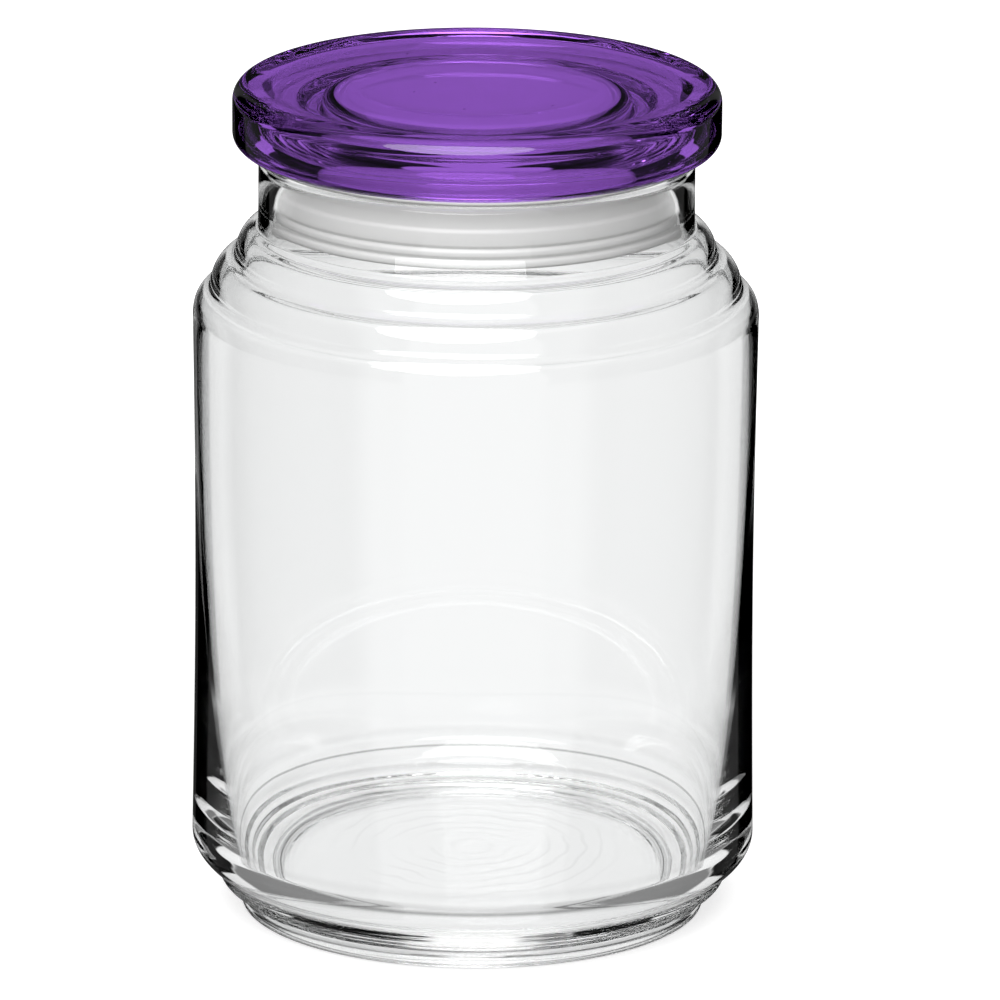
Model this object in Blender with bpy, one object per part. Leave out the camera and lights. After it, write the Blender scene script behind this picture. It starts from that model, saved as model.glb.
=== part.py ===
"""Glass candy jar with a flat coloured glass lid and a soft seal ring on the lid's plug.

Every piece is a body of revolution about +Z, turned from its own outline of (radius, height) points.
The jar stands on its foot at height zero. The seal ring hangs in the neck by its flange, and the lid
sits on that flange with its plug inside the ring. Lengths are in metres.
"""

import math

import bmesh
import bpy

# Turning and rounding
turn_segments = 48
small_arc_steps = 4
large_arc_steps = 7
body_steps = 6
inner_steps = 9
weld_distance = 0.00001
smooth_angle = math.radians(34.0)

# Gap between pieces that touch on the real jar
seat_gap = 0.0003

# Jar, from the foot upwards
body_radius = 0.0508
waist_draw = 0.0005
base_rounding = 0.0005
base_fillet = 0.0015
base_inset = 0.0041
foot_ring_width = 0.0035
foot_inset = 0.0049
foot_rounding = 0.0018
foot_band_height = 0.0030
foot_height = 0.0076
heel_height = 0.0063
heel_slant = 55.0
body_height = 0.0966
lower_step_inset = 0.0030
lower_step_height = 0.0043
middle_step_inset = 0.0045
middle_step_height = 0.0060
upper_step_inset = 0.0042
upper_step_height = 0.0057
neck_height = 0.0131

# Jar glass, which grows thicker towards the floor and a little thicker in the neck
wall = 0.0018
neck_wall = 0.0032
wall_thickening = 0.0037
thickening_power = 3.2
floor_thickness = 0.0070
corner_width = 0.0075
corner_height = 0.0070
corner_start = 30.0
punt_height = 0.0025
punt_width = 0.0060

# Seal ring
seal_thickness = 0.0034
flange_thickness = 0.0011
flange_setback = 0.0010
collar_height = 0.0050
collar_inset = 0.0004
band_height = 0.0032
rib_count = 2
rib_height = 0.0015
groove_width = 0.0004
groove_depth = 0.0004
rib_rounding = 0.0003

# Lid
lid_overhang = 0.0047
lid_thickness = 0.0114
lid_top_rounding = 0.0032
lid_bottom_rounding = 0.0026
crest_width = 0.0014
dish_slope_width = 0.0032
dish_depth = 0.0005
ring_radius = 0.0220
ring_width = 0.0014
ring_height = 0.0001
panel_thickness = 0.0064
plug_wall = 0.0042
plug_setback = 0.0009
plug_tip_rounding = 0.0012
hollow_rounding = 0.0050

# Heights that the pieces share
heel_base = foot_height
body_base = heel_base + heel_height
shoulder_base = body_base + body_height
middle_step_base = shoulder_base + lower_step_height
upper_step_base = middle_step_base + middle_step_height
neck_base = upper_step_base + upper_step_height
rim_top = neck_base + neck_height
flange_base = rim_top + seat_gap
lid_base = flange_base + flange_thickness + seat_gap

# Radii that the pieces share
foot_radius = body_radius - foot_inset
base_radius = foot_radius - base_inset
middle_step_radius = body_radius - lower_step_inset
upper_step_radius = middle_step_radius - middle_step_inset
neck_radius = upper_step_radius - upper_step_inset
bore_radius = neck_radius - neck_wall
seal_radius = bore_radius - seat_gap
seal_bore = seal_radius - seal_thickness
plug_radius = seal_bore - seat_gap
lid_radius = neck_radius + lid_overhang
seal_depth = collar_height + band_height + rib_count * (groove_width + rib_height)


def remove_everything():
    """Empty the scene."""
    for scene_object in list(bpy.data.objects):
        bpy.data.objects.remove(scene_object, do_unlink=True)


def arc(centre, width, height, start, end, steps):
    """Points along an elliptical arc, with its angles in degrees from the +radius direction."""
    points = []
    for step in range(steps + 1):
        angle = math.radians(start + (end - start) * step / steps)
        radius = centre[0] + width * math.cos(angle)
        level = centre[1] + height * math.sin(angle)
        points.append((radius, level))
    return points


def shoulder_steps(glass):
    """The three rounded shoulder steps, bottom to top, or with some glass taken off, the wall's inside."""
    corners = (
        (body_radius, shoulder_base),
        (middle_step_radius, middle_step_base),
        (upper_step_radius, upper_step_base),
        (neck_radius, neck_base),
    )
    points = [(body_radius - glass, shoulder_base)]
    for (low_radius, low), (high_radius, high) in zip(corners, corners[1:]):
        width = low_radius - high_radius - glass
        points += arc((high_radius, low), width, high - low - glass, 0.0, 90.0, small_arc_steps)[1:]
        if glass:
            points += arc((high_radius, high), glass, glass, 270.0, 180.0, small_arc_steps)[1:]
    return points


def foot_steps():
    """The base ring that the jar stands on and the wider band over it, bottom to top."""
    band_base = foot_height - foot_band_height
    base_centre = (base_radius - base_rounding, base_rounding)
    fillet_centre = (base_radius + base_fillet, band_base - base_fillet)
    band_centre = (foot_radius - foot_rounding, band_base + foot_rounding)
    points = arc(base_centre, base_rounding, base_rounding, -90.0, 0.0, small_arc_steps)
    points += arc(fillet_centre, base_fillet, base_fillet, 180.0, 90.0, small_arc_steps)
    points += arc(band_centre, foot_rounding, foot_rounding, -90.0, 0.0, small_arc_steps)
    return points


def heel():
    """The slanting heel from the foot band out to the body."""
    slant = math.radians(heel_slant)
    width = foot_inset / (1.0 - math.cos(slant))
    height = heel_height / math.sin(slant)
    return arc((body_radius - width, body_base), width, height, -heel_slant, 0.0, small_arc_steps)


def body_side():
    """The body between heel and shoulder, drawn in a little at mid height."""
    points = []
    for step in range(1, body_steps):
        share = step / body_steps
        radius = body_radius - waist_draw * math.sin(math.pi * share)
        points.append((radius, body_base + body_height * share))
    return points


def inner_side():
    """The inside of the body, from its shoulder down to the corner of its floor."""
    top = shoulder_base
    bottom = floor_thickness + corner_height
    points = []
    for step in range(1, inner_steps + 1):
        share = step / inner_steps
        radius = body_radius - wall - wall_thickening * share ** thickening_power
        points.append((radius, top + (bottom - top) * share))
    return points


def floor_corner(outer_radius):
    """The rounded corner inside the jar, from the foot of its side down to its floor."""
    start = math.radians(corner_start)
    width = corner_width / math.cos(start)
    height = corner_height / (1.0 - math.sin(start))
    centre = (outer_radius - corner_width, floor_thickness + height)
    return arc(centre, width, height, -corner_start, -90.0, small_arc_steps)[1:]


def jar_outline():
    """The jar's glass, from the middle of its underside round the outside to the middle of its floor."""
    ring_inner = base_radius - base_rounding - foot_ring_width
    rim_rounding = neck_wall / 2
    rim_centre = (neck_radius - rim_rounding, rim_top - rim_rounding)
    inside = inner_side()

    points = [(0.0, punt_height)]
    points += arc((ring_inner - punt_width, 0.0), punt_width, punt_height, 90.0, 0.0, small_arc_steps)
    points += foot_steps()
    points += heel()
    points += body_side()
    points += shoulder_steps(0.0)
    points += arc(rim_centre, rim_rounding, rim_rounding, 0.0, 180.0, large_arc_steps)
    points.append((bore_radius, neck_base + neck_wall))
    points += reversed(shoulder_steps(wall))
    points += inside
    points += floor_corner(inside[-1][0])
    points.append((0.0, floor_thickness))
    return points


def rib_outline(outer_radius, root_radius, top, height):
    """One rounded rib of the seal ring, from its upper root to its lower root."""
    return [
        (root_radius, top),
        (outer_radius - rib_rounding, top),
        (outer_radius, top - rib_rounding),
        (outer_radius, top - height + rib_rounding),
        (outer_radius - rib_rounding, top - height),
        (root_radius, top - height),
    ]


def seal_outline():
    """The seal ring's section of flange, collar, broad band and ribs, with height zero under the flange."""
    flange_radius = neck_radius - flange_setback
    collar_radius = seal_radius - collar_inset
    groove_radius = seal_radius - groove_depth

    points = [
        (seal_bore, flange_thickness),
        (flange_radius, flange_thickness),
        (flange_radius, 0.0),
        (collar_radius, 0.0),
        (collar_radius, -collar_height),
    ]
    top = -collar_height
    points += rib_outline(seal_radius, groove_radius, top, band_height)[1:]
    top -= band_height + groove_width
    for _ in range(rib_count):
        points += rib_outline(seal_radius, groove_radius, top, rib_height)
        top -= rib_height + groove_width
    points.pop()
    points.append((seal_bore, -seal_depth))
    return points


def raised_ring(level):
    """The fine raised ring on the lid's top, from its outer side to its inner side."""
    half_width = ring_width / 2
    return arc((ring_radius, level), half_width, ring_height, 0.0, 180.0, small_arc_steps)


def dish_slope(outer_radius, level):
    """The soft slope from the lid's crest down into its shallow dish."""
    points = []
    for step in range(small_arc_steps + 1):
        share = step / small_arc_steps
        drop_share = (1.0 - math.cos(math.pi * share)) / 2
        points.append((outer_radius - dish_slope_width * share, level - dish_depth * drop_share))
    return points


def lid_outline():
    """The lid's glass, from the middle of its hollow underside round the rim to the middle of its top."""
    dish_level = lid_thickness - dish_depth
    hollow_top = dish_level - panel_thickness
    hollow_radius = plug_radius - plug_wall
    plug_depth = seal_depth + flange_thickness + seat_gap - plug_setback
    tip_base = plug_tip_rounding - plug_depth
    crest_radius = lid_radius - lid_top_rounding

    points = [(0.0, hollow_top)]
    points += arc(
        (hollow_radius - hollow_rounding, hollow_top - hollow_rounding),
        hollow_rounding, hollow_rounding, 90.0, 0.0, small_arc_steps,
    )
    points += arc(
        (hollow_radius + plug_tip_rounding, tip_base),
        plug_tip_rounding, plug_tip_rounding, 180.0, 270.0, small_arc_steps,
    )
    points += arc(
        (plug_radius - plug_tip_rounding, tip_base),
        plug_tip_rounding, plug_tip_rounding, -90.0, 0.0, small_arc_steps,
    )
    points.append((plug_radius, 0.0))
    points += arc(
        (lid_radius - lid_bottom_rounding, lid_bottom_rounding),
        lid_bottom_rounding, lid_bottom_rounding, -90.0, 0.0, small_arc_steps,
    )
    points += arc(
        (crest_radius, lid_thickness - lid_top_rounding),
        lid_top_rounding, lid_top_rounding, 0.0, 90.0, small_arc_steps,
    )
    points += dish_slope(crest_radius - crest_width, lid_thickness)
    points += raised_ring(dish_level)
    points.append((0.0, dish_level))
    return points


def glass_material(name, colour, roughness):
    """Clear or coloured glass."""
    material = bpy.data.materials.new(name)
    material.use_nodes = True
    shader = material.node_tree.nodes["Principled BSDF"]
    shader.inputs["Base Color"].default_value = (*colour, 1.0)
    shader.inputs["Roughness"].default_value = roughness
    shader.inputs["Metallic"].default_value = 0.0
    shader.inputs["Transmission Weight"].default_value = 1.0
    shader.inputs["IOR"].default_value = 1.52
    return material


def plastic_material(name, colour, roughness):
    """Soft milky plastic."""
    material = bpy.data.materials.new(name)
    material.use_nodes = True
    shader = material.node_tree.nodes["Principled BSDF"]
    shader.inputs["Base Color"].default_value = (*colour, 1.0)
    shader.inputs["Roughness"].default_value = roughness
    shader.inputs["Metallic"].default_value = 0.0
    return material


def turned_object(name, outline, material, closed):
    """Turn an outline about +Z into a solid. A closed outline makes a ring."""
    shape = bmesh.new()
    corners = [shape.verts.new((radius, 0.0, level)) for radius, level in outline]
    edges = [shape.edges.new(pair) for pair in zip(corners, corners[1:])]
    if closed:
        edges.append(shape.edges.new((corners[-1], corners[0])))
    bmesh.ops.spin(
        shape, geom=corners + edges, cent=(0.0, 0.0, 0.0), axis=(0.0, 0.0, 1.0),
        angle=math.tau, steps=turn_segments,
    )
    bmesh.ops.remove_doubles(shape, verts=shape.verts[:], dist=weld_distance)
    bmesh.ops.recalc_face_normals(shape, faces=shape.faces[:])

    mesh = bpy.data.meshes.new(name)
    shape.to_mesh(mesh)
    shape.free()
    mesh.materials.append(material)
    mesh.shade_smooth()
    mesh.set_sharp_from_angle(angle=smooth_angle)
    turned = bpy.data.objects.new(name, mesh)
    bpy.context.scene.collection.objects.link(turned)
    return turned


def assembly_empty(name):
    """The empty that carries the jar, at the middle of its foot."""
    empty = bpy.data.objects.new(name, None)
    empty.empty_display_size = body_radius
    bpy.context.scene.collection.objects.link(empty)
    return empty


def build_jar(assembly):
    """The clear glass jar, which stands on its foot ring."""
    material = glass_material("clear_glass", (0.97, 0.98, 0.98), 0.02)
    jar = turned_object("glass_jar", jar_outline(), material, closed=False)
    jar.parent = assembly
    return jar


def build_seal(jar):
    """The soft seal ring. Its flange rests on the rim, and it lifts along the jar's axis."""
    material = plastic_material("milky_plastic", (0.80, 0.80, 0.79), 0.35)
    seal = turned_object("seal_ring", seal_outline(), material, closed=True)
    seal.parent = jar
    seal.location = (0.0, 0.0, flange_base)
    return seal


def build_lid(seal):
    """The purple glass lid. It lifts with the seal ring and turns in it about the jar's axis."""
    material = glass_material("purple_glass", (0.22, 0.09, 0.45), 0.03)
    lid = turned_object("glass_lid", lid_outline(), material, closed=False)
    lid.parent = seal
    lid.location = (0.0, 0.0, lid_base - flange_base)
    return lid


def build():
    """Build the whole jar."""
    remove_everything()
    assembly = assembly_empty("candy_jar")
    jar = build_jar(assembly)
    seal = build_seal(jar)
    build_lid(seal)


build()
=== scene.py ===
"""Looks of a glass candy jar with a purple glass lid and a milky seal ring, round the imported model."""

import math

import bmesh
import bpy
from mathutils import Matrix, Quaternion, Vector


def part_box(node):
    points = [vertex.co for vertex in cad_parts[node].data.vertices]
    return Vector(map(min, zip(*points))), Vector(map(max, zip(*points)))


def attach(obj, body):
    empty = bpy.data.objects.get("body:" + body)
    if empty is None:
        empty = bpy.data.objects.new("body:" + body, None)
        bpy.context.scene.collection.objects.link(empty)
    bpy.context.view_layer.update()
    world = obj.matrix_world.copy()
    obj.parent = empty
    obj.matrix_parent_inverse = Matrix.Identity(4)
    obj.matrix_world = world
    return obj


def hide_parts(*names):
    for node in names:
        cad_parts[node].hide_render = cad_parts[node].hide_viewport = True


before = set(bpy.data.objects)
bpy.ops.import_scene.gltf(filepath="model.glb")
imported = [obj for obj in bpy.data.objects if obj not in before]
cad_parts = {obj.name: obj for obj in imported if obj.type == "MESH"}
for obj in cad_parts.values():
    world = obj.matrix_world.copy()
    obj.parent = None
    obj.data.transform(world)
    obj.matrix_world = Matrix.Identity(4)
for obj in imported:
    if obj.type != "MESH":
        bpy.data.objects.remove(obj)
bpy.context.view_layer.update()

millimetre = 0.001

# Pieces
jar_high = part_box("glass_jar")[1]
seal_low, seal_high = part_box("seal_ring")
lid_low, lid_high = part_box("glass_lid")

# Turning
turn_segments = 192
outline_step = 0.2 * millimetre
longest_edge = 4.0 * millimetre
most_turn = math.radians(4.0)
shoulder_rounds = 24
jar_rounds = 6
seal_rounds = 2
lid_rounds = 4
bend_steps = 6

# Jar. An inner ring is a level, a height and half a width. A painted ring shade is a level, half a width
# and a strength: a dark band painted into the glass where the rings' refraction shows dark lines
body_radius = jar_high.x
rim_top = jar_high.z
waist_draw = 0.5 * millimetre
base_rounding = 0.5 * millimetre
base_fillet = 1.5 * millimetre
base_inset = 4.1 * millimetre
foot_ring_width = 3.5 * millimetre
foot_inset = 4.9 * millimetre
foot_rounding = 1.8 * millimetre
foot_band_height = 3.0 * millimetre
foot_height = 7.6 * millimetre
heel_height = 6.3 * millimetre
heel_slant = 55.0
body_height = 96.6 * millimetre
lower_step_inset = 3.0 * millimetre
lower_step_height = 4.3 * millimetre
middle_step_inset = 4.5 * millimetre
middle_step_height = 6.0 * millimetre
upper_step_inset = 4.2 * millimetre
upper_step_height = 5.7 * millimetre
wall = 1.8 * millimetre
neck_wall = 3.2 * millimetre
wall_thickening = 3.7 * millimetre
thickening_power = 3.2
floor_thickness = 7.0 * millimetre
corner_width = 7.5 * millimetre
corner_height = 7.0 * millimetre
corner_start = 30.0
corner_steps = 40
inner_rings = (
    (15.5 * millimetre, 0.10 * millimetre, 1.2 * millimetre),
    (12.1 * millimetre, 0.40 * millimetre, 0.35 * millimetre),
)
ring_shade_bands = (
    (12.1 * millimetre, 0.35 * millimetre, 0.75),
    (15.2 * millimetre, 1.3 * millimetre, 0.12),
)
swirl_radius = 26.0 * millimetre
swirl_length = 3.6 * millimetre
swirl_wobble = 9.0 * millimetre
swirl_scale = 60.0
swirl_strength = 0.12
swirl_crest = 0.8
swirl_edge = 0.2
no_limit = 2.0
patch_start = 0.45
patch_edge = 0.15
punt_height = 2.5 * millimetre
punt_width = 6.0 * millimetre
body_base = foot_height + heel_height
shoulder_base = body_base + body_height
middle_step_base = shoulder_base + lower_step_height
upper_step_base = middle_step_base + middle_step_height
neck_base = upper_step_base + upper_step_height
foot_radius = body_radius - foot_inset
base_radius = foot_radius - base_inset
middle_step_radius = body_radius - lower_step_inset
upper_step_radius = middle_step_radius - middle_step_inset
neck_radius = upper_step_radius - upper_step_inset
bore_radius = neck_radius - neck_wall

# Seal ring
seal_gap = 0.3 * millimetre
seal_thickness = 3.4 * millimetre
flange_radius = seal_high.x
flange_thickness = 1.1 * millimetre
flange_base = seal_high.z - flange_thickness
collar_height = 5.0 * millimetre
collar_inset = 0.4 * millimetre
band_height = 3.2 * millimetre
rib_count = 2
rib_height = 1.5 * millimetre
groove_width = 0.4 * millimetre
groove_depth = 0.4 * millimetre
rib_rounding = 0.3 * millimetre
seal_radius = bore_radius - seal_gap
seal_bore = seal_radius - seal_thickness

# Lid. A seed is a distance from the axis, a bearing in degrees, a level and a radius
lid_radius = lid_high.x
lid_top = lid_high.z
lid_base = seal_high.z + seal_gap
lid_top_rounding = 3.2 * millimetre
lid_bottom_rounding = 2.6 * millimetre
crest_width = 1.4 * millimetre
dish_slope_width = 3.2 * millimetre
dish_depth = 0.5 * millimetre
ring_radius = 22.0 * millimetre
ring_width = 1.4 * millimetre
ring_height = 0.08 * millimetre
panel_thickness = 6.4 * millimetre
plug_wall = 4.2 * millimetre
plug_tip_rounding = 1.2 * millimetre
hollow_rounding = 5.0 * millimetre
plug_radius = seal_bore - seal_gap
seed_level = lid_top - dish_depth - 1.2 * millimetre
lid_seeds = (
    (27.0 * millimetre, 118.0, seed_level, 0.30 * millimetre),
    (8.0 * millimetre, 160.0, seed_level, 0.22 * millimetre),
    (16.5 * millimetre, 262.0, seed_level, 0.25 * millimetre),
    (27.5 * millimetre, 38.0, seed_level, 0.30 * millimetre),
    (19.0 * millimetre, 315.0, seed_level, 0.18 * millimetre),
    (12.0 * millimetre, 200.0, seed_level, 0.18 * millimetre),
)
seed_subdivisions = 2
under_margin = 0.3 * millimetre

# Materials
glass_index = 1.52
wave_height = 0.02 * millimetre
wave_scale = 60.0
wave_stretch = (1.0, 1.0, 0.4)
clear_colour = (0.985, 0.99, 0.99)
# Nearly black: painted into the glass as shade along the inner rings, and as the faint floor swirl
swirl_and_ring_shade_colour = (0.02, 0.02, 0.02)
depth_colour = (0.87, 0.89, 0.88)
depth_density = 1.0
jar_shade = (0.97, 0.97, 0.97)
foot_shade = (0.55, 0.55, 0.55)
lid_shade = (0.98, 0.97, 0.98)
lid_colour = (0.30, 0.105, 0.60)
haze_colour = (0.60, 0.36, 0.85)
panel_haze = 0.6
haze_drop = 1.0 * millimetre
haze_reach = 1.5 * panel_thickness
seal_colour = (0.72, 0.72, 0.715)
seal_roughness = 0.35
seal_index = 1.5
seal_depth = 2.0 * millimetre
seal_softness = 0.1
grain_height = 0.02 * millimetre
grain_scale = 900.0

# Paths of light, as counts of surfaces met: crossings of glass, and bounces of any kind
no_crossing = 0.5
second_crossing = 1.5
one_wall = 2.5
two_walls = 4.5
first_bounce = 1.5
inner_bounce = 2.5
folded_path = 3.5
long_path = 8.5

# Studio. A card is a range of bearings from straight behind the jar, then of heights, in degrees, and a
# level. A flag is a range of bearings and a level
card_low = -26.0
card_high = -9.0
dark_cards = (
    (-38.0, -17.0, card_low, card_high, 0.0),
    (-17.0, -8.0, card_low, card_high, 0.25),
    (7.0, 38.0, card_low, card_high, 0.0),
    (-150.0, -60.0, card_low, card_high, 0.75),
    (60.0, 150.0, card_low, card_high, 0.75),
    (-85.0, -24.0, -5.0, 46.0, 0.0),
    (24.0, 85.0, -5.0, 46.0, 0.0),
    (-135.0, -18.0, -60.0, card_low, 0.25),
    (18.0, 135.0, -60.0, card_low, 0.25),
)
side_flags = (
    (-130.0, -50.0, 0.35),
    (45.0, 130.0, 0.1),
)
flag_edge = math.radians(8.0)
level_rises = (-9.0, 12.0)
level_edge = math.radians(4.0)
folded_bearings = (11.0, 150.0)
folded_rises = (-12.0, 60.0)
long_rise = 50.0
long_side = 25.0
trapped_bearing = 135.0
double_level = 0.1
fade_middle = -16.0
fade_start = 6.0
fade_end = 45.0
deep_fade = 0.3
card_edge = math.radians(1.5)
ceiling_start = -4.0
ceiling_side = 15.0
ceiling_edge = math.radians(3.0)
ceiling_level = 0.15
ambient_level = 0.75
side_ambient = 0.14
ambient_front = 40.0
ambient_edge = 25.0
floor_radius = 3.0
floor_sides = 96
floor_drop = 0.02 * millimetre
floor_colour = (0.7, 0.7, 0.7)
floor_glow = 0.48
shadow_reach = 0.25
bounce_colour = (0.45, 0.45, 0.45)
white = (1.0, 1.0, 1.0)
lamp_place = Vector((-0.15, -0.75, 1.05))
lamp_aim = Vector((0.0, 0.0, 0.08))
lamp_size = 1.3
lamp_power = 18.8

# Camera
camera_place = Vector((0.0, -2.3093, 0.7348))
camera_aim = Vector((0.00456, 0.0, 0.07523))
camera_roll = math.radians(0.413)
camera_lens = 480.1
camera_sensor = 36.0
camera_nearest = 0.1
camera_farthest = 100.0
most_bounces = 48
most_inner_bounces = 32


def arc(centre, width, height, start, end, steps=16):
    """Points along an elliptical arc, with its angles in degrees from the +radius direction."""
    points = []
    for step in range(steps + 1):
        angle = math.radians(start + (end - start) * step / steps)
        points.append((centre[0] + width * math.cos(angle), centre[1] + height * math.sin(angle)))
    return points


def resampled(points, step):
    """The same outline with points an even step apart."""
    lengths = [math.dist(a, b) for a, b in zip(points, points[1:])]
    count = max(2, round(sum(lengths) / step))
    spacing = sum(lengths) / count
    result = [points[0]]
    walked, index = 0.0, 0
    for number in range(1, count):
        target = number * spacing
        while index < len(lengths) - 1 and walked + lengths[index] < target:
            walked += lengths[index]
            index += 1
        share = (target - walked) / lengths[index]
        (r0, z0), (r1, z1) = points[index], points[index + 1]
        result.append((r0 + (r1 - r0) * share, z0 + (z1 - z0) * share))
    result.append(points[-1])
    return result


def softened(points, rounds, closed=False):
    """The outline with its corners rounded off by repeated averaging of neighbours."""
    for _ in range(rounds):
        moved = list(points)
        last = len(points) - 1
        for index in range(len(points)):
            if not closed and index in (0, last):
                continue
            before, after = points[index - 1], points[(index + 1) % len(points)]
            here = points[index]
            moved[index] = (
                (before[0] + 2 * here[0] + after[0]) / 4,
                (before[1] + 2 * here[1] + after[1]) / 4,
            )
        points = moved
    return points


def thinned(points):
    """The outline with only the points that its curves need."""
    result = [points[0]]
    turned, walked = 0.0, 0.0
    for before, here, after in zip(points, points[1:], points[2:]):
        first = math.atan2(here[1] - before[1], here[0] - before[0])
        second = math.atan2(after[1] - here[1], after[0] - here[0])
        turned += abs((second - first + math.pi) % math.tau - math.pi)
        walked += math.dist(before, here)
        if turned > most_turn or walked > longest_edge:
            result.append(here)
            turned, walked = 0.0, 0.0
    result.append(points[-1])
    return result


def fine_outline(points, rounds, closed=False):
    """A smooth outline with small natural radii at its corners."""
    if closed:
        ring = softened(resampled(points + [points[0]], outline_step)[:-1], rounds, closed=True)
        return thinned(ring + [ring[0]])[:-1]
    return thinned(softened(resampled(points, outline_step), rounds))


def shoulder_steps(glass=0.0):
    """The three rounded shoulder steps, bottom to top, or their inside, with the glass that thick."""
    corners = (
        (body_radius, shoulder_base),
        (middle_step_radius, middle_step_base),
        (upper_step_radius, upper_step_base),
        (neck_radius, neck_base),
    )
    points = [(body_radius - glass, shoulder_base)]
    for (low_radius, low), (high_radius, high) in zip(corners, corners[1:]):
        points += arc((high_radius, low), low_radius - high_radius - glass, high - low - glass, 0.0, 90.0)
        if glass:
            points += arc((high_radius, high), glass, glass, 270.0, 180.0, bend_steps)[1:]
    return points


def foot_steps():
    """The base ring that the jar stands on and the wider band over it, bottom to top."""
    band_base = foot_height - foot_band_height
    points = arc((base_radius - base_rounding, base_rounding), base_rounding, base_rounding, -90.0, 0.0)
    points += arc((base_radius + base_fillet, band_base - base_fillet), base_fillet, base_fillet, 180.0, 90.0)
    points += arc(
        (foot_radius - foot_rounding, band_base + foot_rounding), foot_rounding, foot_rounding, -90.0, 0.0,
    )
    return points


def heel():
    """The slanting heel from the foot band out to the body."""
    slant = math.radians(heel_slant)
    width = foot_inset / (1.0 - math.cos(slant))
    height = heel_height / math.sin(slant)
    return arc((body_radius - width, body_base), width, height, -heel_slant, 0.0)


def body_side(steps=24):
    """The body between heel and shoulder, drawn in a little at mid height."""
    points = []
    for step in range(1, steps):
        share = step / steps
        radius = body_radius - waist_draw * math.sin(math.pi * share)
        points.append((radius, body_base + body_height * share))
    return points


def inner_side(steps=48):
    """The inside of the body, from its shoulder down to the corner of its floor, where it is thickest."""
    top, bottom = shoulder_base - wall, floor_thickness + corner_height
    points = []
    for step in range(1, steps + 1):
        share = step / steps
        radius = body_radius - wall - wall_thickening * share ** thickening_power
        points.append((radius, top + (bottom - top) * share))
    return points


def floor_corner(outer_radius):
    """The rounded corner inside the jar, from the foot of its side down to its floor."""
    start = math.radians(corner_start)
    width = corner_width / math.cos(start)
    height = corner_height / (1.0 - math.sin(start))
    centre = (outer_radius - corner_width, floor_thickness + height)
    return arc(centre, width, height, -corner_start, -90.0, corner_steps)


def jar_outline():
    """The jar's glass, from the middle of its underside round the outside to the middle of its floor."""
    ring_inner = base_radius - base_rounding - foot_ring_width
    rim_middle = (neck_radius - neck_wall / 2, rim_top - neck_wall / 2)
    inside = inner_side()
    points = [(0.0, punt_height)]
    points += arc((ring_inner - punt_width, 0.0), punt_width, punt_height, 90.0, 0.0)
    points += foot_steps()
    points += heel()
    points += body_side()
    points += softened(resampled(shoulder_steps(), outline_step), shoulder_rounds)
    points += arc(rim_middle, neck_wall / 2, neck_wall / 2, 0.0, 180.0)
    inside_steps = shoulder_steps(wall) + [(bore_radius, neck_base + neck_wall)]
    points += reversed(softened(resampled(inside_steps, outline_step), shoulder_rounds))
    points += inside
    points += floor_corner(inside[-1][0])
    points.append((0.0, floor_thickness))
    return fine_outline(points, jar_rounds)


def ringed(outline):
    """The jar's outline with faint rings standing in from the foot of its inside."""
    flat_radius = body_radius - wall - wall_thickening - corner_width
    result = []
    for radius, level in outline:
        inside = flat_radius < radius < body_radius - wall
        low = floor_thickness < level < 2 * foot_height + heel_height
        inset = 0.0
        if inside and low:
            for middle, height, half_width in inner_rings:
                inset += height * math.exp(-((level - middle) / half_width) ** 2)
        result.append((radius - inset, level))
    return result


def rib_outline(top, height):
    """One rounded rib of the seal ring, from its upper root to its lower root."""
    root = seal_radius - groove_depth
    return [
        (root, top),
        (seal_radius - rib_rounding, top),
        (seal_radius, top - rib_rounding),
        (seal_radius, top - height + rib_rounding),
        (seal_radius - rib_rounding, top - height),
        (root, top - height),
    ]


def seal_outline():
    """The seal ring's section: flange, plain collar, broad band and ribs."""
    collar_radius = seal_radius - collar_inset
    top = flange_base - collar_height
    points = [
        (seal_bore, seal_high.z),
        (flange_radius, seal_high.z),
        (flange_radius, flange_base),
        (collar_radius, flange_base),
        (collar_radius, top),
    ]
    points += rib_outline(top, band_height)[1:]
    top -= band_height + groove_width
    for _ in range(rib_count):
        points += rib_outline(top, rib_height)
        top -= rib_height + groove_width
    points.pop()
    points.append((seal_bore, seal_low.z))
    return fine_outline(points, seal_rounds, closed=True)


def dish_slope(outer_radius, steps=16):
    """The soft slope from the lid's crest down into its shallow dish."""
    points = []
    for step in range(steps + 1):
        share = step / steps
        drop_share = (1.0 - math.cos(math.pi * share)) / 2
        points.append((outer_radius - dish_slope_width * share, lid_top - dish_depth * drop_share))
    return points


def lid_outline():
    """The lid's glass, from the middle of its hollow underside round the rim to the middle of its top."""
    dish_level = lid_top - dish_depth
    hollow_top = dish_level - panel_thickness
    hollow_radius = plug_radius - plug_wall
    tip = plug_tip_rounding
    crest_radius = lid_radius - lid_top_rounding
    points = [(0.0, hollow_top)]
    points += arc(
        (hollow_radius - hollow_rounding, hollow_top - hollow_rounding),
        hollow_rounding, hollow_rounding, 90.0, 0.0,
    )
    points += arc((hollow_radius + tip, lid_low.z + tip), tip, tip, 180.0, 270.0)
    points += arc((plug_radius - tip, lid_low.z + tip), tip, tip, -90.0, 0.0)
    points.append((plug_radius, lid_base))
    points += arc(
        (lid_radius - lid_bottom_rounding, lid_base + lid_bottom_rounding),
        lid_bottom_rounding, lid_bottom_rounding, -90.0, 0.0,
    )
    points += arc(
        (crest_radius, lid_top - lid_top_rounding), lid_top_rounding, lid_top_rounding, 0.0, 90.0,
    )
    points += dish_slope(crest_radius - crest_width)
    points += arc((ring_radius, dish_level), ring_width / 2, ring_height, 0.0, 180.0)
    points.append((0.0, dish_level))
    return fine_outline(points, lid_rounds)


def new_object(name, data):
    """A new object in the scene."""
    thing = bpy.data.objects.new(name, data)
    bpy.context.scene.collection.objects.link(thing)
    return thing


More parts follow.
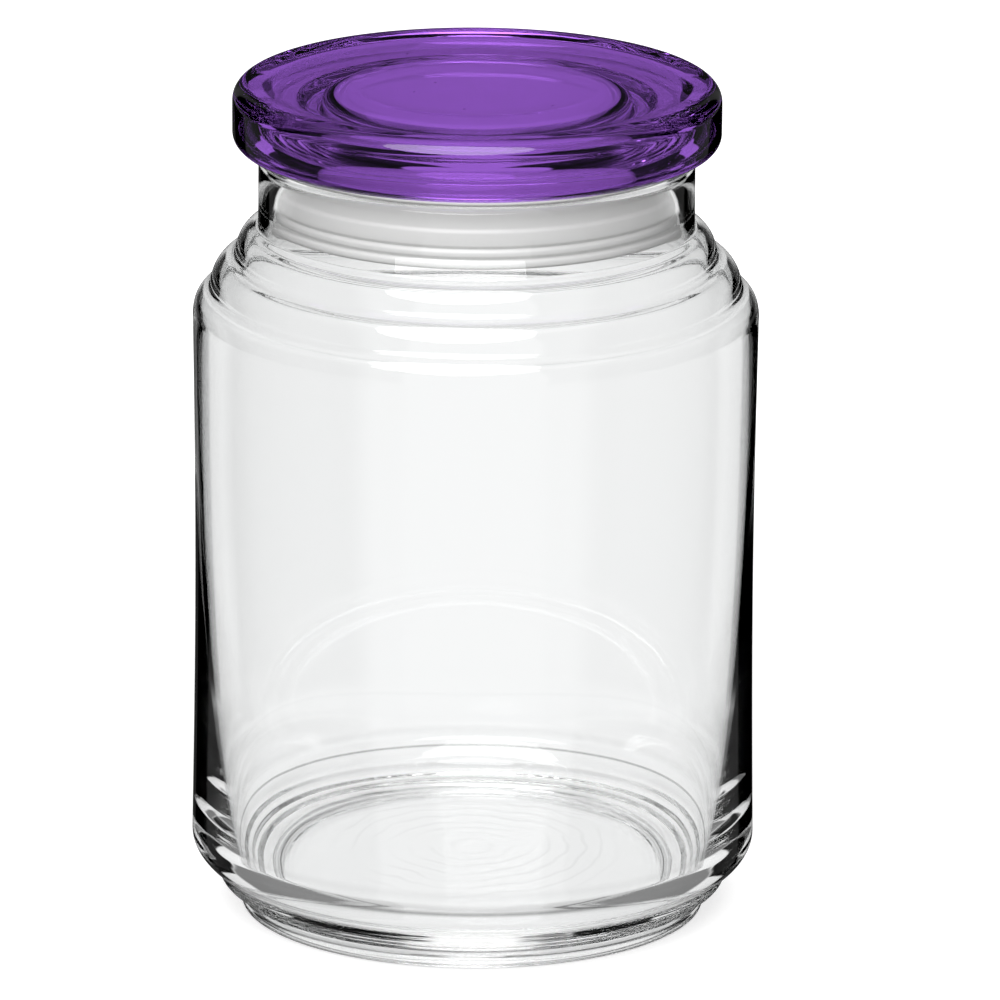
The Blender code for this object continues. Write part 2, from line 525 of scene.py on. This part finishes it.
def turned_piece(name, outline, closed=False):
    """Turn an outline about +Z into a smooth mesh."""
    places, faces = [], []
    rows = []
    for radius, level in outline:
        if radius < outline_step / 4:
            rows.append([len(places)] * turn_segments)
            places.append((0.0, 0.0, level))
            continue
        rows.append(range(len(places), len(places) + turn_segments))
        for segment in range(turn_segments):
            angle = math.tau * segment / turn_segments
            places.append((radius * math.cos(angle), radius * math.sin(angle), level))
    pairs = list(zip(rows, rows[1:]))
    if closed:
        pairs.append((rows[-1], rows[0]))
    for low, high in pairs:
        for segment in range(turn_segments):
            ahead = (segment + 1) % turn_segments
            corners = [low[segment], low[ahead], high[ahead], high[segment]]
            faces.append(list(dict.fromkeys(corners)))
    mesh = bpy.data.meshes.new(name)
    mesh.from_pydata(places, [], faces)
    mesh.validate()
    mesh.shade_smooth()
    return new_object(name, mesh)


def new_material(name):
    """An empty node material, with its tree and its output."""
    material = bpy.data.materials.new(name)
    material.use_nodes = True
    tree = material.node_tree
    tree.nodes.clear()
    return material, tree, tree.nodes.new("ShaderNodeOutputMaterial")


def object_noise(tree, scale, stretch=(1.0, 1.0, 1.0), detail=2.0):
    """Noise that is fixed to the piece."""
    place = tree.nodes.new("ShaderNodeTexCoord")
    mapping = tree.nodes.new("ShaderNodeMapping")
    mapping.inputs["Scale"].default_value = stretch
    texture = tree.nodes.new("ShaderNodeTexNoise")
    texture.inputs["Scale"].default_value = scale
    texture.inputs["Detail"].default_value = detail
    tree.links.new(place.outputs["Object"], mapping.inputs["Vector"])
    tree.links.new(mapping.outputs["Vector"], texture.inputs["Vector"])
    return texture.outputs["Fac"]


def maths(tree, operation, *values):
    """A Math node with numbers or sockets as its inputs."""
    node = tree.nodes.new("ShaderNodeMath")
    node.operation = operation
    for socket, value in zip(node.inputs, values):
        if isinstance(value, (int, float)):
            socket.default_value = value
        else:
            tree.links.new(value, socket)
    return node.outputs["Value"]


def either(tree, *values):
    """The largest of some values."""
    result = values[0]
    for value in values[1:]:
        result = maths(tree, "MAXIMUM", result, value)
    return result


def product(tree, *values):
    """Some values multiplied."""
    result = values[0]
    for value in values[1:]:
        result = maths(tree, "MULTIPLY", result, value)
    return result


def less(tree, level, share):
    """A level with a share of it taken away."""
    return maths(tree, "MULTIPLY", level, maths(tree, "SUBTRACT", 1.0, share))


def above(tree, value, limit):
    """1 where the value is over the limit."""
    return maths(tree, "GREATER_THAN", value, limit)


def below(tree, value, limit):
    """1 where the value is under the limit."""
    return maths(tree, "LESS_THAN", value, limit)


def mixed_colour(tree, share, first, second):
    """A colour between two, by a share."""
    mix = tree.nodes.new("ShaderNodeMix")
    mix.data_type = "RGBA"
    mix.inputs["A"].default_value = (*first, 1.0)
    mix.inputs["B"].default_value = (*second, 1.0)
    tree.links.new(share, mix.inputs["Factor"])
    return mix.outputs["Result"]


def within(tree, value, low, high, soft):
    """1 between low and high, 0 outside, with soft edges."""
    rise = tree.nodes.new("ShaderNodeMapRange")
    rise.interpolation_type = "SMOOTHSTEP"
    fall = tree.nodes.new("ShaderNodeMapRange")
    fall.interpolation_type = "SMOOTHSTEP"
    for node, start, end in ((rise, low - soft, low + soft), (fall, high + soft, high - soft)):
        tree.links.new(value, node.inputs["Value"])
        node.inputs["From Min"].default_value = start
        node.inputs["From Max"].default_value = end
    return maths(tree, "MULTIPLY", rise.outputs["Result"], fall.outputs["Result"])


def spread(tree, angle, limits, soft):
    """1 for an angle between two limits in degrees, 0 outside, with soft edges."""
    low, high = limits
    return within(tree, angle, math.radians(low), math.radians(high), soft)


def round_place(tree):
    """The distance from the piece's axis and the height on it, as two sockets."""
    place = tree.nodes.new("ShaderNodeTexCoord")
    parts = tree.nodes.new("ShaderNodeSeparateXYZ")
    tree.links.new(place.outputs["Object"], parts.inputs["Vector"])
    squares = [maths(tree, "MULTIPLY", parts.outputs[axis], parts.outputs[axis]) for axis in "XY"]
    return maths(tree, "SQRT", maths(tree, "ADD", *squares)), parts.outputs["Z"]


def glass_shader(tree, colour, normal):
    """Polished glass."""
    shader = tree.nodes.new("ShaderNodeBsdfPrincipled")
    shader.inputs["Base Color"].default_value = (*colour, 1.0)
    shader.inputs["Roughness"].default_value = 0.0
    shader.inputs["IOR"].default_value = glass_index
    shader.inputs["Transmission Weight"].default_value = 1.0
    tree.links.new(normal, shader.inputs["Normal"])
    return shader


def matt_shader(tree, colour):
    """A plain matt colour."""
    shader = tree.nodes.new("ShaderNodeBsdfDiffuse")
    shader.inputs["Color"].default_value = (*colour, 1.0)
    return shader.outputs["BSDF"]


def mixed_shader(tree, share, first, second):
    """A surface between two, by a share."""
    mix = tree.nodes.new("ShaderNodeMixShader")
    tree.links.new(share, mix.inputs["Fac"])
    tree.links.new(first, mix.inputs[1])
    tree.links.new(second, mix.inputs[2])
    return mix.outputs["Shader"]


def by_ray(tree, surface, rays, other):
    """The surface, with the other shader in its place for some kinds of ray."""
    path = tree.nodes.new("ShaderNodeLightPath")
    for ray in rays:
        surface = mixed_shader(tree, path.outputs[ray], surface, other)
    return surface


def lamp_light(tree, surface, colour, foot_colour=None):
    """The surface, through which lamps and lit surfaces shine with a soft tint, darker in the thick foot."""
    clear = tree.nodes.new("ShaderNodeBsdfTransparent")
    clear.inputs["Color"].default_value = (*colour, 1.0)
    if foot_colour:
        low = within(tree, round_place(tree)[1], -foot_height, foot_height, foot_rounding)
        tree.links.new(mixed_colour(tree, low, colour, foot_colour), clear.inputs["Color"])
    return by_ray(tree, surface, ("Is Diffuse Ray", "Is Shadow Ray"), clear.outputs["BSDF"])


def bumps(tree, height, texture):
    """A normal roughened by a texture."""
    bump = tree.nodes.new("ShaderNodeBump")
    bump.inputs["Distance"].default_value = height
    tree.links.new(texture, bump.inputs["Height"])
    return bump.outputs["Normal"]


def glass_waves(tree):
    """Faint waves in pressed glass."""
    return bumps(tree, wave_height, object_noise(tree, wave_scale, wave_stretch))


def painted_ring_shade(tree, radius, level):
    """Painted shade: how dark the glass is painted along the faint rings round the foot of the jar's inside,
    standing in for the dark lines that their refraction shows.
    """
    lines = []
    for middle, half_width, strength in ring_shade_bands:
        low, high = middle - half_width / 2, middle + half_width / 2
        lines.append(product(tree, within(tree, level, low, high, half_width / 2), strength))
    inside = below(tree, radius, body_radius - wall - wall_thickening / 2)
    return product(tree, either(tree, *lines), inside)


def floor_swirl(tree, radius, level):
    """How dark the glass is along the faint patchy swirl on the floor inside the jar."""
    bent = product(tree, object_noise(tree, swirl_scale), swirl_wobble)
    turns = product(tree, maths(tree, "ADD", radius, bent), math.tau / swirl_length)
    crests = within(tree, maths(tree, "SINE", turns), swirl_crest, no_limit, swirl_edge)
    patches = within(tree, object_noise(tree, swirl_scale), patch_start, no_limit, patch_edge)
    lowest = floor_thickness - foot_rounding
    on_floor = within(tree, level, lowest, floor_thickness + outline_step, outline_step)
    middle = within(tree, radius, -swirl_radius, swirl_radius, swirl_length)
    return product(tree, product(tree, crests, patches), product(tree, on_floor, middle), swirl_strength)


def clear_glass():
    """The jar's clear pressed glass, a little green and darker where it is thick, with dark bands of painted
    shade along the rings inside its foot.
    """
    material, tree, output = new_material("clear_glass_fine")
    shader = glass_shader(tree, clear_colour, glass_waves(tree))
    radius, level = round_place(tree)
    # Painted shade along the inner rings, where refraction would show dark lines, together with the faint
    # floor swirl
    dark = either(tree, painted_ring_shade(tree, radius, level), floor_swirl(tree, radius, level))
    tree.links.new(mixed_colour(tree, dark, clear_colour, swirl_and_ring_shade_colour), shader.inputs["Base Color"])
    surface = lamp_light(tree, shader.outputs["BSDF"], jar_shade, foot_shade)
    tree.links.new(surface, output.inputs["Surface"])
    volume = tree.nodes.new("ShaderNodeVolumeAbsorption")
    volume.inputs["Color"].default_value = (*depth_colour, 1.0)
    volume.inputs["Density"].default_value = depth_density
    tree.links.new(volume.outputs["Volume"], output.inputs["Volume"])
    return material


def panel_milk(tree, path):
    """How milky the underside of the lid's panel is, for light that came the short way through the panel."""
    radius, level = round_place(tree)
    hollow_top = lid_top - dish_depth - panel_thickness
    under_panel = within(tree, level, hollow_top - haze_drop, hollow_top + under_margin, under_margin)
    in_hollow = below(tree, radius, plug_radius - plug_wall + under_margin)
    milky = product(tree, product(tree, under_panel, in_hollow), panel_haze)
    milky = product(tree, milky, below(tree, path.outputs["Ray Depth"], first_bounce))
    return product(tree, milky, below(tree, path.outputs["Ray Length"], haze_reach))


def purple_glass():
    """The lid's purple glass. Light that came through the jar first passes through it untinted."""
    material, tree, output = new_material("purple_glass_fine")
    waves = glass_waves(tree)
    outside = glass_shader(tree, lid_colour, waves)
    inside = glass_shader(tree, lid_colour, waves)
    path = tree.nodes.new("ShaderNodeLightPath")
    crossed = above(tree, path.outputs["Transmission Depth"], second_crossing)
    tree.links.new(mixed_colour(tree, crossed, lid_colour, white), inside.inputs["Base Color"])
    haze = matt_shader(tree, haze_colour)
    hazy = mixed_shader(tree, panel_milk(tree, path), inside.outputs["BSDF"], haze)
    surface = by_ray(tree, hazy, ("Is Camera Ray",), outside.outputs["BSDF"])
    tree.links.new(lamp_light(tree, surface, lid_shade), output.inputs["Surface"])
    return material


def milky_material():
    """Soft translucent plastic."""
    material, tree, output = new_material("milky_plastic_fine")
    shader = tree.nodes.new("ShaderNodeBsdfPrincipled")
    shader.inputs["Base Color"].default_value = (*seal_colour, 1.0)
    shader.inputs["Roughness"].default_value = seal_roughness
    shader.inputs["IOR"].default_value = seal_index
    shader.inputs["Subsurface Weight"].default_value = seal_softness
    shader.inputs["Subsurface Radius"].default_value = (1.0, 1.0, 1.0)
    shader.inputs["Subsurface Scale"].default_value = seal_depth
    grain = bumps(tree, grain_height, object_noise(tree, grain_scale))
    tree.links.new(grain, shader.inputs["Normal"])
    tree.links.new(shader.outputs["BSDF"], output.inputs["Surface"])
    return material


def make_jar():
    """The clear jar."""
    piece = turned_piece("jar_glass", ringed(jar_outline()))
    piece.data.materials.append(clear_glass())
    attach(piece, "jar")
    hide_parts("glass_jar")


def make_seal():
    """The milky seal ring."""
    piece = turned_piece("seal_plastic", seal_outline(), closed=True)
    piece.data.materials.append(milky_material())
    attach(piece, "seal")
    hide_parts("seal_ring")


def add_seeds(piece, seeds):
    """Tiny air bubbles in a piece of glass, as closed hollows in its mesh."""
    shape = bmesh.new()
    shape.from_mesh(piece.data)
    for radius, bearing, level, size in seeds:
        angle = math.radians(bearing)
        place = Matrix.Translation((radius * math.cos(angle), radius * math.sin(angle), level))
        hollow = bmesh.ops.create_icosphere(
            shape, subdivisions=seed_subdivisions, radius=size, matrix=place,
        )
        faces = {face for vert in hollow["verts"] for face in vert.link_faces}
        for face in faces:
            face.smooth = True
        bmesh.ops.reverse_faces(shape, faces=list(faces))
    shape.to_mesh(piece.data)
    shape.free()


def make_lid():
    """The purple lid."""
    piece = turned_piece("lid_glass", lid_outline())
    add_seeds(piece, lid_seeds)
    piece.data.materials.append(purple_glass())
    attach(piece, "lid")
    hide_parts("glass_lid")


def make_camera():
    """The camera at the photograph's angle."""
    data = bpy.data.cameras.new("camera")
    data.lens = camera_lens
    data.sensor_width = camera_sensor
    data.clip_start = camera_nearest
    data.clip_end = camera_farthest
    camera = new_object("camera", data)
    camera.location = camera_place
    camera.rotation_mode = "QUATERNION"
    aim = (camera_aim - camera_place).to_track_quat("-Z", "Y")
    camera.rotation_quaternion = aim @ Quaternion((0.0, 0.0, 1.0), camera_roll)
    bpy.context.scene.camera = camera


def card_dark(tree, bearing, rise):
    """How much the cards darken a direction."""
    cards = []
    for low, high, lowest, highest, level in dark_cards:
        across = spread(tree, bearing, (low, high), card_edge)
        upright = spread(tree, rise, (lowest, highest), card_edge)
        cards.append(product(tree, product(tree, across, upright), 1.0 - level))
    return either(tree, *cards)


def wall_level(tree, path, bearing, rise):
    """How bright the studio is to light from the outside of the glass or through one wall of it."""
    crossings, bounces = path.outputs["Transmission Depth"], path.outputs["Ray Depth"]
    aslant = maths(tree, "ABSOLUTE", bearing)
    one = below(tree, crossings, one_wall)
    inner = product(tree, above(tree, bounces, inner_bounce), one)
    thin = either(tree, below(tree, crossings, no_crossing), inner)
    shown = less(tree, 1.0, product(tree, card_dark(tree, bearing, rise), thin))
    folded = spread(tree, aslant, folded_bearings, card_edge)
    folded = product(tree, folded, spread(tree, rise, folded_rises, card_edge), thin)
    shown = less(tree, shown, product(tree, folded, above(tree, bounces, folded_path)))
    long = above(tree, bounces, long_path)
    trapped = product(tree, long, one, below(tree, aslant, math.radians(trapped_bearing)))
    lost = above(tree, aslant, math.radians(long_side))
    lost = product(tree, lost, below(tree, rise, math.radians(long_rise)), long)
    lost = product(tree, lost, below(tree, crossings, two_walls))
    return less(tree, shown, either(tree, trapped, lost))


def deep_level(tree, path, bearing, rise):
    """How bright the studio is to light that came through more than one wall."""
    deep = above(tree, path.outputs["Transmission Depth"], one_wall)
    flagged = less(tree, deep, spread(tree, rise, level_rises, level_edge))
    shown = 1.0
    for low, high, level in side_flags:
        flag = spread(tree, bearing, (low, high), flag_edge)
        shown = less(tree, shown, product(tree, product(tree, flag, flagged), 1.0 - level))
    slope = maths(tree, "ABSOLUTE", maths(tree, "SUBTRACT", rise, math.radians(fade_middle)))
    middle = math.radians(fade_start + fade_end) / 2
    fade = within(tree, slope, middle, math.pi, math.radians(fade_end - fade_start) / 2)
    return less(tree, shown, product(tree, product(tree, fade, deep), deep_fade))


def mirror_level(tree, path, bearing, rise):
    """How bright the studio is to light that glances off the outside of the glass."""
    outside = below(tree, path.outputs["Transmission Depth"], no_crossing)
    high = product(tree, within(tree, rise, math.radians(ceiling_start), math.pi, ceiling_edge), outside)
    ceiling = product(tree, high, spread(tree, bearing, (-ceiling_side, ceiling_side), ceiling_edge))
    twice = product(tree, outside, above(tree, path.outputs["Ray Depth"], first_bounce))
    shown = less(tree, 1.0, product(tree, ceiling, 1.0 - ceiling_level))
    return less(tree, shown, product(tree, twice, 1.0 - double_level))


def ambient_light(tree, bearing):
    """The plain light on everything but glass, strongest from in front."""
    behind = maths(tree, "SUBTRACT", math.pi, maths(tree, "ABSOLUTE", bearing))
    front = within(tree, behind, -math.pi, math.radians(ambient_front), math.radians(ambient_edge))
    return maths(tree, "ADD", product(tree, front, ambient_level - side_ambient), side_ambient)


def make_world():
    """White all round, with dark cards beside the jar that only its glass shows."""
    world = bpy.data.worlds.new("white_studio")
    bpy.context.scene.world = world
    world.use_nodes = True
    tree = world.node_tree
    tree.nodes.clear()
    output = tree.nodes.new("ShaderNodeOutputWorld")
    path = tree.nodes.new("ShaderNodeLightPath")
    place = tree.nodes.new("ShaderNodeTexCoord")
    parts = tree.nodes.new("ShaderNodeSeparateXYZ")
    tree.links.new(place.outputs["Generated"], parts.inputs["Vector"])
    bearing = maths(tree, "ARCTAN2", parts.outputs["X"], parts.outputs["Y"])
    rise = maths(tree, "ARCSINE", parts.outputs["Z"])
    level = product(
        tree,
        wall_level(tree, path, bearing, rise),
        deep_level(tree, path, bearing, rise),
        mirror_level(tree, path, bearing, rise),
    )
    through = either(tree, path.outputs["Is Glossy Ray"], path.outputs["Is Transmission Ray"])
    plain = less(tree, ambient_light(tree, bearing), through)
    strength = either(
        tree, maths(tree, "ADD", product(tree, level, through), plain), path.outputs["Is Camera Ray"],
    )
    light = tree.nodes.new("ShaderNodeBackground")
    light.inputs["Color"].default_value = (*white, 1.0)
    tree.links.new(strength, light.inputs["Strength"])
    tree.links.new(light.outputs["Background"], output.inputs["Surface"])


def make_floor():
    """A white floor that keeps the jar's soft shadow. The glass shows the white studio in its place."""
    angles = [math.tau * side / floor_sides for side in range(floor_sides)]
    places = [(floor_radius * math.cos(angle), floor_radius * math.sin(angle), 0.0) for angle in angles]
    mesh = bpy.data.meshes.new("floor")
    mesh.from_pydata(places, [], [list(range(floor_sides))])
    floor = new_object("floor", mesh)
    floor.location.z = -floor_drop
    material, tree, output = new_material("white_floor")
    path = tree.nodes.new("ShaderNodeLightPath")
    glow = tree.nodes.new("ShaderNodeEmission")
    glow.inputs["Color"].default_value = (*white, 1.0)
    near = within(tree, round_place(tree)[0], -shadow_reach, shadow_reach, shadow_reach / 2)
    tree.links.new(less(tree, 1.0, product(tree, near, 1.0 - floor_glow)), glow.inputs["Strength"])
    lit = tree.nodes.new("ShaderNodeAddShader")
    tree.links.new(matt_shader(tree, floor_colour), lit.inputs[0])
    tree.links.new(glow.outputs["Emission"], lit.inputs[1])
    bounced = matt_shader(tree, bounce_colour)
    seen = mixed_shader(tree, path.outputs["Is Camera Ray"], bounced, lit.outputs["Shader"])
    clear = tree.nodes.new("ShaderNodeBsdfTransparent")
    through = either(tree, path.outputs["Is Glossy Ray"], path.outputs["Is Transmission Ray"])
    surface = mixed_shader(tree, through, seen, clear.outputs["BSDF"])
    tree.links.new(surface, output.inputs["Surface"])
    floor.data.materials.append(material)


def make_lamp():
    """A large soft lamp above and in front."""
    data = bpy.data.lights.new("soft_lamp", "AREA")
    data.shape = "DISK"
    data.size = lamp_size
    data.energy = lamp_power
    lamp = new_object("soft_lamp", data)
    lamp.location = lamp_place
    lamp.rotation_mode = "QUATERNION"
    lamp.rotation_quaternion = (lamp_aim - lamp_place).to_track_quat("-Z", "Y")


make_camera()
make_world()
make_floor()
make_lamp()
make_jar()
make_seal()
make_lid()

bpy.context.scene.view_settings.view_transform = "Standard"
bpy.context.scene.cycles.max_bounces = most_bounces
bpy.context.scene.cycles.glossy_bounces = most_inner_bounces
bpy.context.scene.cycles.transmission_bounces = most_inner_bounces
